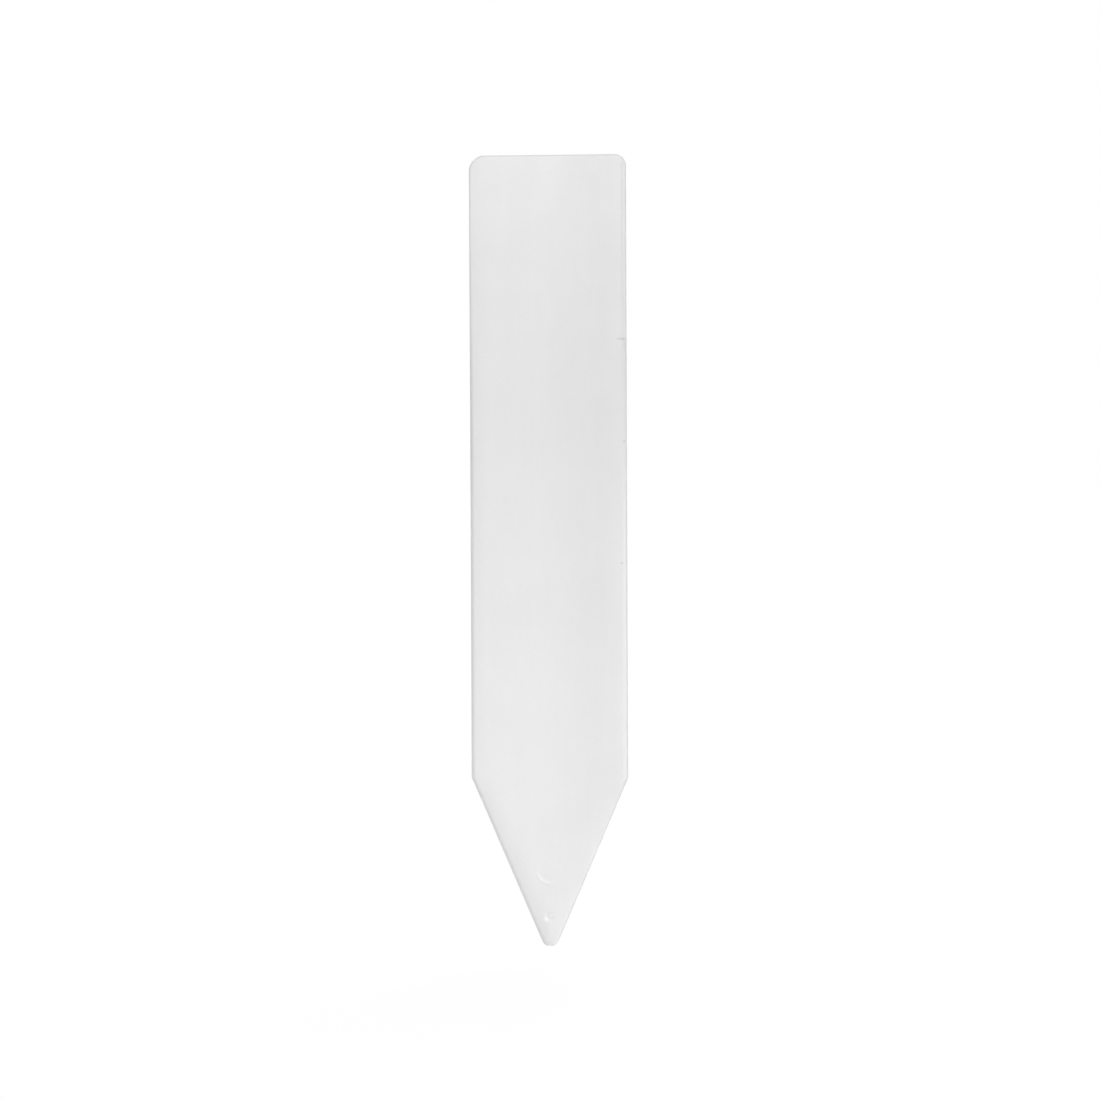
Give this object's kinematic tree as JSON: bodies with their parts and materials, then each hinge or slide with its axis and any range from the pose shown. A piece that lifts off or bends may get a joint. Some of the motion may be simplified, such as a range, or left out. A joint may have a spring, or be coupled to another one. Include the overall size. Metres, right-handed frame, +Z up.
{
  "type": "plant label stake",
  "caption": "Flat white plastic plant label with a square writing field, rounded top corners and a tapered tip that is pushed into potting soil.",
  "frame": {"origin": "centre of the end of the tip, midway through the thickness: the lowest point of the label as it stands in a pot", "axes": "+Z up along the length, from the tip to the top edge; +X to the right of the writing face; the writing face looks along -Y and the back along +Y"},
  "size_m": [0.02, 0.0008, 0.1],
  "materials": {
    "white_plastic": "plain white, slightly translucent, fine matt mould texture with a soft sheen"
  },
  "bodies": {
    "root": {"label_stake": "white_plastic"}
  },
  "joints": []
}
